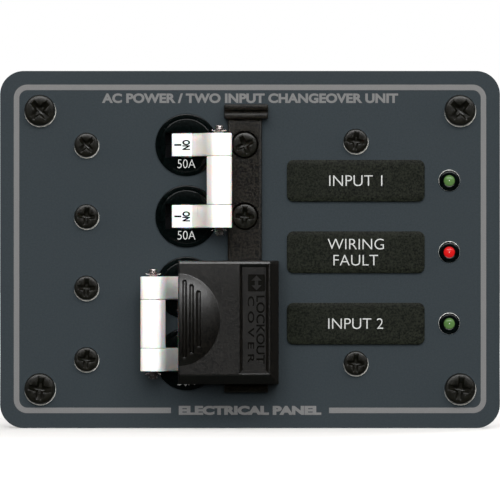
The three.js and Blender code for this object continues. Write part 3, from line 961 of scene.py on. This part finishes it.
def track():
    low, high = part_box("slide_track")
    section = [(x, FRONT - up) for x, up in tee(0, 0)]
    rail = softened(slab(section, [], low.z + RAIL_END, high.z - RAIL_END), RAIL_ROUND, 40, 3)
    rail = boolean(rail, *counterbores())
    groove = block(
        (low.x - 1, low.y - 1, TOP_STOP + STOP_GROOVE["low"]),
        (high.x + 1, low.y + STOP_GROOVE["depth"], TOP_STOP + STOP_GROOVE["high"]),
    )
    head = boolean(end_stop(low, high, TOP_STOP, high.z), groove)
    head = softened(head, STOP_GROOVE["round"], 50)
    foot = end_stop(low, high, low.z, BOTTOM_STOP)
    piece("track", joined(rail, head, foot), "track_nylon", replaces=["slide_track"], slot="black_nylon")


# ---- lockout cover

COVER_EDGE = 0.5 * MM  # rounding along the left side of the front face
COVER_BEVEL = {"right": 2.3 * MM, "bottom": 2.45 * MM, "top": 0.12 * MM}  # width seen from the front
COVER_HEIGHT = 20.8 * MM
ROOF_UNDERSIDE = 18.0 * MM
BEVEL_DROP = 2.6 * MM
TOP_ROLL = {"width": 0.8 * MM, "drop": 0.19 * MM}  # a narrow facet along the top edge of the face
CROWN = {"width": 9.0 * MM, "drop": 0.19 * MM}  # the upper face leans back a little
CREASE = 0.16 * MM  # how softly the face turns into its bevels
WALL_LEFT = -4.2 * MM
FOOT_LEFT = -7.9 * MM
FOOT_TOP = 6.0 * MM
PLAY = 0.3 * MM
RECESS = {"left": -2.75 * MM, "right": 4.95 * MM, "bottom": -32.85 * MM, "top": -3.95 * MM}
RECESS_DEPTH = 0.9 * MM
RECESS_WALL = 0.8 * MM  # width of its sloping walls
RECESS_CORNER = 0.3 * MM
ENGRAVING = 0.4 * MM
RECESS_FLOOR = FRONT - COVER_HEIGHT + RECESS_DEPTH + ENGRAVING
PAD = {"z": -18.55 * MM, "length": 11.1 * MM, "half": 12.15 * MM, "rise": 2.4 * MM, "sink": 0.7}
GROOVES = [  # middle's distance from the cover's left side, then its top and bottom
    (1.7 * MM, -8.0 * MM, -28.9 * MM),
    (3.55 * MM, -9.2 * MM, -27.6 * MM),
    (5.45 * MM, -10.85 * MM, -26.0 * MM),
]
GROOVE_HALF = 0.56 * MM
GROOVE_DEPTH = 0.7 * MM
CAP_STEP = 0.14 * MM


def pad_height(x, z, left):
    """The finger pad is the cap of an ellipsoid, cut off by the cover's left side."""
    across = (x - left) / PAD["length"]
    along = (z - PAD["z"]) / PAD["half"]
    away = (across * across + along * along) * (1 - PAD["sink"] ** 2)
    if away >= 1:
        return 0.0
    return PAD["rise"] * max(0.0, math.sqrt(1 - away) - PAD["sink"]) / (1 - PAD["sink"])


def groove_depth(x, z, left):
    deepest = 0.0
    for offset, top, bottom in GROOVES:
        nearest = min(max(z, bottom + GROOVE_HALF), top - GROOVE_HALF)
        away = math.hypot(x - left - offset, z - nearest) / GROOVE_HALF
        if away < 1:
            deepest = max(deepest, GROOVE_DEPTH * math.sqrt(1 - away * away))
    return deepest


def recess_depth(x, z):
    """Sloping walls down to the floor, an engraving's depth under the plate that holds the marks."""
    inside = min(x - RECESS["left"], RECESS["right"] - x, z - RECESS["bottom"], RECESS["top"] - z)
    full = RECESS_DEPTH + ENGRAVING
    return min(full, max(0.0, inside) * RECESS_DEPTH / RECESS_WALL)


def bevel_drop(x, z, right, bottom, top):
    """How far the bevels round three sides lie under the face, with softened creases."""
    drop = 0.0
    for side, away in (("right", right - x), ("bottom", z - bottom), ("top", top - z)):
        level = BEVEL_DROP * (1 - away / COVER_BEVEL[side])
        soft = CREASE * BEVEL_DROP / COVER_BEVEL[side]
        if level > soft:
            drop = max(drop, level)
        elif level > -soft:
            drop = max(drop, (level + soft) ** 2 / (4 * soft))
    return drop


def grid_lines(low, high, step, fine):
    """Even lines from low to high, and denser ones within the given bands."""
    count = round((high - low) / step)
    lines = [low + (high - low) * i / count for i in range(count + 1)]
    for start, stop, parts in fine:
        lines += [start + (stop - start) * i / parts for i in range(parts + 1)]
    lines = sorted(lines)
    kept = [lines[0]]
    for line in lines[1:]:
        if line - kept[-1] > 0.02 * MM:
            kept.append(line)
    kept[-1] = high
    return kept


def cap_height(x, z, left, right, bottom, top):
    """How high the cover's face stands over the plate."""
    edge = max(0.0, 1 - (x - left) / COVER_EDGE)
    roll = max(0.0, 1 - (top - z) / TOP_ROLL["width"])
    crown = max(0.0, 1 - (top - z) / CROWN["width"])
    drop = COVER_EDGE * (1 - math.sqrt(1 - edge * edge)) + TOP_ROLL["drop"] * roll
    drop += CROWN["drop"] * crown * crown
    drop += bevel_drop(x, z, right, bottom, top)
    shape = pad_height(x, z, left) - groove_depth(x, z, left) - recess_depth(x, z)
    return COVER_HEIGHT - drop + shape


def cover_cap(*sides):
    """The roof: a fine height field over its outline, closed by a skirt and its flat underside."""
    left, right, bottom, top = sides
    xs = grid_lines(left, right, CAP_STEP, [(left, left + COVER_EDGE, 8)])
    zs = grid_lines(bottom, top, CAP_STEP, [(top - TOP_ROLL["width"], top, 12)])
    mesh = bmesh.new()
    rows = [[mesh.verts.new((x, FRONT - cap_height(x, z, *sides), z)) for x in xs] for z in zs]
    for lower, upper in zip(rows, rows[1:]):
        for i in range(len(xs) - 1):
            mesh.faces.new((lower[i], lower[i + 1], upper[i + 1], upper[i]))
    rim = rows[0] + [row[-1] for row in rows[1:]] + rows[-1][-2::-1] + [row[0] for row in rows[-2:0:-1]]
    below = [mesh.verts.new((v.co.x, FRONT - ROOF_UNDERSIDE, v.co.z)) for v in rim]
    for i in range(len(rim)):
        mesh.faces.new((rim[i - 1], below[i - 1], below[i], rim[i]))
    mesh.faces.new(below)
    bmesh.ops.recalc_face_normals(mesh, faces=mesh.faces)
    return mesh


def cover_wall(low, high):
    """The wall that stands on the track and the foot that grips its head, as a bar along Z."""
    section = [
        (high.x, PLAY),
        (high.x, ROOF_UNDERSIDE),
        (WALL_LEFT, ROOF_UNDERSIDE),
        (WALL_LEFT, FOOT_TOP),
        (FOOT_LEFT, FOOT_TOP),
        (FOOT_LEFT, PLAY),
        *tee(PLAY, PLAY),
    ]
    return slab([(x, FRONT - up) for x, up in section], [], low.z, high.z)


MARK_WORDS = [  # words, capital height, length, X of the middle
    ("LOCKOUT", 2.3 * MM, 18.0 * MM, 2.8 * MM),
    ("C O V E R", 1.75 * MM, 17.8 * MM, 0.25 * MM),
]
MARK_WORDS_Z = -21.2 * MM
ARROW = {"x": 1.72 * MM, "z": -8.83 * MM, "reach": 1.95 * MM, "half": 1.35 * MM, "stem": 0.45 * MM}
ARROW_FIELD = 2.25 * MM  # half the side of the square round it
ARROW_CORNER = 0.2 * MM


def arrow_tool():
    """Cuts a square sunk field, and leaves an arrow that points both ways along the slide standing in it."""
    x, z, side = ARROW["x"], ARROW["z"], ARROW_FIELD
    neck = ARROW["reach"] - ARROW["half"]
    quarter = [(0, ARROW["reach"]), (ARROW["half"], neck), (ARROW["stem"], neck)]
    right = quarter + [(px, -pz) for px, pz in reversed(quarter)]
    left = [(-px, pz) for px, pz in reversed(right[1:-1])]
    arrow = [(x + px, z + pz) for px, pz in right + left]
    field = rounded(x - side, z - side, x + side, z + side, ARROW_CORNER, 4)
    return slab(field, [arrow], -0.5 * ENGRAVING, 2 * ENGRAVING)


def recess_sheet(margin, thick, bevel=0.0):
    """A flat sheet of the recess's outline, less its sloping walls and a margin all round."""
    margin += RECESS_WALL
    low = RECESS["left"] + margin, RECESS["bottom"] + margin
    high = RECESS["right"] - margin, RECESS["top"] - margin
    return slab(rounded(*low, *high, RECESS_CORNER, 4), [], 0, thick, bevel, 1)


def engraved_plate():
    """The recess's floor, with generic marks cut through: words that read downwards and a double arrow."""
    tools = []
    for words, height, length, x in MARK_WORDS:
        letters = lettering(words, height, length, 2 * ENGRAVING, weight=0.02)
        letters = moved(letters, turn=math.radians(-90))
        tools.append(moved(letters, (x, MARK_WORDS_Z, -0.5 * ENGRAVING)))
    mesh = boolean(recess_sheet(-0.06 * MM, ENGRAVING - 0.02 * MM), *tools, arrow_tool())
    return moved(stood(mesh), (0, RECESS_FLOOR, 0))


def cover():
    low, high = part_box("lockout_cover")
    cap = cover_cap(low.x, high.x, low.z, high.z)
    mesh = joined(cap, cover_wall(low, high), engraved_plate())
    # A dark sheet under the cut marks, so that the engraved strokes show painted shade.
    ground = moved(stood(recess_sheet(0.3 * MM, 0.06 * MM, 0.02 * MM)), (0, RECESS_FLOOR - 0.01 * MM, 0))
    piece("cover_mark_shade", ground, "painted_shade_ink", "lockout_slide", slot="black_nylon")
    piece("cover", mesh, "black_nylon", "lockout_slide", ["lockout_cover"], crease=50)


# ---- labels and lamps

LABEL_LETTER = 2.85 * MM
LINE_GAP = 4.3 * MM
LABEL_CORNER = 1.7 * MM
LABEL_BEVEL = 0.1 * MM


def labels():
    for name, lines in LABELS.items():
        low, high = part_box(f"label_{name}")
        outline = rounded(low.x, low.z, high.x, high.z, LABEL_CORNER, 10)
        mesh = stood(slab(outline, [], -FRONT, -low.y, LABEL_BEVEL))
        finished(f"label_{name}", mesh, "label_black")
        middle = (low + high) / 2
        for i, words in enumerate(lines):
            z = middle.z + LINE_GAP * ((len(lines) - 1) / 2 - i)
            letters = lettering(words, LABEL_LETTER, None, INK_DEPTH, weight=-0.010)
            print_on(f"label_{name}_print_{i + 1}", letters, (middle.x, low.y, z), "white_ink", "label_black")


LENS_RADIUS = 1.42 * MM
LENS_DOME = 0.55 * MM
LENS_COLLAR = 1 * MM
HOLDER_BORE = [(1.5, 0.2), (1.54, 0.04), (1.66, 0)]  # radius and how far back, in millimetres
HOLDER_RIM = [(0.45, 0), (0.33, 0.06), (0.08, 0.34), (0.01, 0.5)]  # in from the edge and how far back
BORE = 1.5 * MM
BARREL = 2.2 * MM
HIGHLIGHT_RING = {"out": 0.055 * MM, "in": 0.4 * MM, "thick": 0.25 * MM, "bevel": 0.06 * MM}
HIGHLIGHT_RING_SHIFT = Vector((-0.015, 0, 0.035)) * MM  # it sits above the holder's middle, so that its bright edge shows as a painted highlight crescent along the holder's top
GLINT_SPECK = [(0, -0.02), (0.13, 0), (0.15, 0.1), (0, 0.1)]  # a white speck at the front of the lens, a painted glint, in millimetres


def lamp_holder(radius, low, high):
    """A ring with a rounded rim, and the barrel behind it."""
    profile = [(r * MM, low.y + back * MM) for r, back in HOLDER_BORE]
    profile += [(radius - inward * MM, low.y + back * MM) for inward, back in HOLDER_RIM]
    profile += [(radius, FRONT - 0.1 * (FRONT - low.y)), (radius, FRONT), (BARREL, FRONT)]
    profile += [(BARREL, high.y), (BORE, high.y)]
    return turned(profile, 64)


def lamp_highlight_ring(radius):
    """A thin bright ring on the plate, under the holder: a painted highlight crescent round the holder's rim.
    """
    outer = circle(0, 0, radius + HIGHLIGHT_RING["out"], 64)
    inner = circle(0, 0, radius - HIGHLIGHT_RING["in"], 48)
    return stood(slab(outer, [inner], 0, HIGHLIGHT_RING["thick"], HIGHLIGHT_RING["bevel"], 2))


def lamp_lens(low, high):
    """A domed lens with a collar that holds it in the barrel."""
    turns = [math.radians(90 * i / 12) for i in range(13)]
    dome = [(LENS_RADIUS * math.sin(t), low.y + LENS_DOME * (1 - math.cos(t))) for t in turns]
    collar = high.y - LENS_COLLAR
    return turned(dome + [(LENS_RADIUS, collar), (BARREL, collar), (BARREL, high.y), (0, high.y)])


def lamps():
    for name in LABELS:
        node = f"lamp_holder_{name}"
        low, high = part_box(node)
        radius = half_width(node)
        spot = centre(node)
        spot.y = 0
        # A bright ring set off the holder's middle: a painted highlight crescent.
        highlight_ring = moved(lamp_highlight_ring(radius), spot + Vector((0, FRONT, 0)) + HIGHLIGHT_RING_SHIFT)
        piece(f"lamp_highlight_ring_{name}", highlight_ring, "painted_highlight_metal", slot="gloss_black")
        finished(node, moved(lamp_holder(radius, low, high), spot), "gloss_black")
        colour = "lens_red" if name == "polarity" else "lens_green"
        node = f"lamp_lens_{name}"
        low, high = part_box(node)
        # A white speck on the lens: a painted glint.
        glint_speck = turned([(r * MM, low.y + back * MM) for r, back in GLINT_SPECK], 24)
        piece(f"lamp_glint_{name}", moved(glint_speck, spot), "white_ink", slot=colour)
        finished(node, moved(lamp_lens(low, high), spot), colour)


# ---- back of the panel


NUT = {"corner": 4.4 * MM, "hole": 1.75 * MM, "bevel": 0.15 * MM}
TERMINAL_HEAD = {"radius": 3.7 * MM, "height": 2.4 * MM, "recess": 1.4 * MM, "recess_top": 2.33 * MM}
TERMINAL_ROUND = 0.06 * MM
TERMINAL_SHANK = 2 * MM
TERMINAL_SEAT = 3.4 * MM
TERMINAL_WASHER = {"half": 3.9 * MM, "corner": 0.5 * MM, "hole": 1.9 * MM, "thick": MM, "bevel": 0.12 * MM}


def refinish(node, finish):
    """Puts a material on a CAD piece that is shown as it is."""
    materials = NODES[node].data.materials
    materials.clear()
    materials.append(MATERIALS[finish])


def rear_pieces():
    refinish("backlight_tray", "white_nylon")
    refinish("backlight_sheet", "diffuser")
    for i in (1, 2):
        node = f"backlight_nut_{i}"
        low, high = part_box(node)
        hole = circle(0, 0, NUT["hole"], 32)
        nut = slab(circle(0, 0, NUT["corner"], 6), [hole], 0, high.y - low.y, NUT["bevel"])
        spot = centre(node)
        nut = moved(stood(nut), (spot.x, high.y, spot.z))
        finished(node, nut, "plated_steel")
    for node in [f"{kind}_terminal_{pole}" for kind in ("line", "load") for pole in POLES]:
        terminal(node)


def terminal(node):
    """A brass screw with a captive square washer, its head towards +Y."""
    spot = centre(node)
    radius = TERMINAL_HEAD["radius"]
    head = pan_head(radius, TERMINAL_HEAD["height"], TERMINAL_SHANK, 0.5 * MM)
    recess = moved(cross_recess(radius, TERMINAL_HEAD["recess"]), (0, -TERMINAL_HEAD["recess_top"], 0))
    head = softened(boolean(head, recess), TERMINAL_ROUND, 50)
    half, thick = TERMINAL_WASHER["half"], TERMINAL_WASHER["thick"]
    square = rounded(-half, -half, half, half, TERMINAL_WASHER["corner"], 4)
    hole = circle(0, 0, TERMINAL_WASHER["hole"], 32)
    washer = stood(slab(square, [hole], 0, thick, TERMINAL_WASHER["bevel"]))
    shank = turned([(0, 0), (TERMINAL_SHANK, 0), (TERMINAL_SHANK, 7 * MM), (0, 8 * MM)], 32)
    mesh = moved(joined(moved(head, (0, -thick, 0)), washer, shank), turn=math.pi)
    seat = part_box(node)[1].y - TERMINAL_SEAT
    finished(node, moved(mesh, (spot.x, seat, spot.z)), "brass")


# ---- stage

LENS = 600  # millimetres: long, so that the panel shows square on
SENSOR = 36
CAMERA_Z = -0.13 * MM
WHITE = (1, 1, 1)
WARM = (1, 0.88, 0.74)
COOL = (0.8, 1, 0.95)
LIGHTS = [  # name, place, width and height, power, colour, and whether it adds diffuse light and glare
    ("key", (0.15, -1.75, 1.03), (2.4, 0.45), 32, WHITE, True, True),
    ("fill", (0, -2.4, 0.45), (0.9, 0.9), 60, WHITE, True, False),
    ("warm_left", (-1.7, -0.25, 0.3), (0.8, 0.8), 10, WARM, True, False),
    ("warm_right", (1.7, -0.25, 0.3), (0.8, 0.8), 14, WARM, True, False),
    ("back", (0.4, 1.7, 1.0), (1.0, 1.0), 20, WHITE, True, True),
    ("low_card", (0, -0.5, -1.2), (0.7, 0.7), 0.4, COOL, False, True),
]


def camera():
    data = bpy.data.cameras.new("camera")
    data.lens = LENS
    data.sensor_width = SENSOR
    made = in_scene("camera", data)
    distance = (PLATE_HIGH.x - PLATE_LOW.x) * LENS / SENSOR
    made.location = (0, FRONT - distance, CAMERA_Z)
    made.rotation_euler = (math.radians(90), 0, 0)
    data.clip_end = 100
    bpy.context.scene.camera = made


def area_light(name, where, extent, power, colour, diffuse, glossy):
    """A light that faces the origin and can't be seen itself."""
    data = bpy.data.lights.new(name, "AREA")
    data.shape = "RECTANGLE"
    data.size, data.size_y = extent
    data.energy = power
    data.color = colour
    made = in_scene(name, data)
    made.location = where
    made.rotation_euler = (-Vector(where)).to_track_quat("-Z", "Y").to_euler()
    made.visible_camera = False
    made.visible_diffuse = diffuse
    made.visible_glossy = glossy


def ground():
    """A plain white ground to see. It adds no light of its own under the object."""
    mesh = bmesh.new()
    bmesh.ops.create_circle(mesh, cap_ends=True, segments=64, radius=7)
    floor = mesh_object("floor", mesh)
    floor.location.z = PLATE_LOW.z
    white = Finish("floor_white", Roughness=0.9, Emission_Color=(*WHITE, 1))
    white.colours(white.noise(3, 2), (0.86, 0.86, 0.86), (0.88, 0.88, 0.88))
    away = white.node("ShaderNodeVectorMath", operation="LENGTH")
    white.link(white.coordinates, away.inputs[0])
    fade = white.remap(away.outputs["Value"], 0, 1, 0.25, 1.6)
    white.link(fade, white.shader.inputs["Emission Strength"])
    floor.data.materials.append(white.material)
    floor.visible_diffuse = False
    floor.visible_glossy = False


def sky():
    """White to the camera. What it lights with grows from the horizon upwards."""
    world = bpy.data.worlds.new("studio")
    world.use_nodes = True
    nodes, link = world.node_tree.nodes, world.node_tree.links.new
    lit, seen = nodes["Background"], nodes.new("ShaderNodeBackground")
    for background in (lit, seen):
        fill(background, Color=(*WHITE, 1))
    split = nodes.new("ShaderNodeSeparateXYZ")
    link(nodes.new("ShaderNodeTexCoord").outputs["Generated"], split.inputs["Vector"])
    rise = nodes.new("ShaderNodeMapRange")
    fill(rise, From_Min=0.1, From_Max=0.8, To_Min=0.015, To_Max=0.6)
    link(split.outputs["Z"], rise.inputs["Value"])
    link(rise.outputs["Result"], lit.inputs["Strength"])
    choose = nodes.new("ShaderNodeMixShader")
    link(nodes.new("ShaderNodeLightPath").outputs["Is Camera Ray"], choose.inputs["Fac"])
    link(lit.outputs["Background"], choose.inputs[1])
    link(seen.outputs["Background"], choose.inputs[2])
    link(choose.outputs["Shader"], nodes["World Output"].inputs["Surface"])
    bpy.context.scene.world = world


def stage():
    ground()
    for light in LIGHTS:
        area_light(*light)
    sky()
    bpy.context.scene.view_settings.view_transform = "Standard"


# ---- build

camera()
stage()
plate()
plate_print()
highlight_washers()
screws()
cases()
ratings()
toggles()
track()
cover()
labels()
lamps()
rear_pieces()
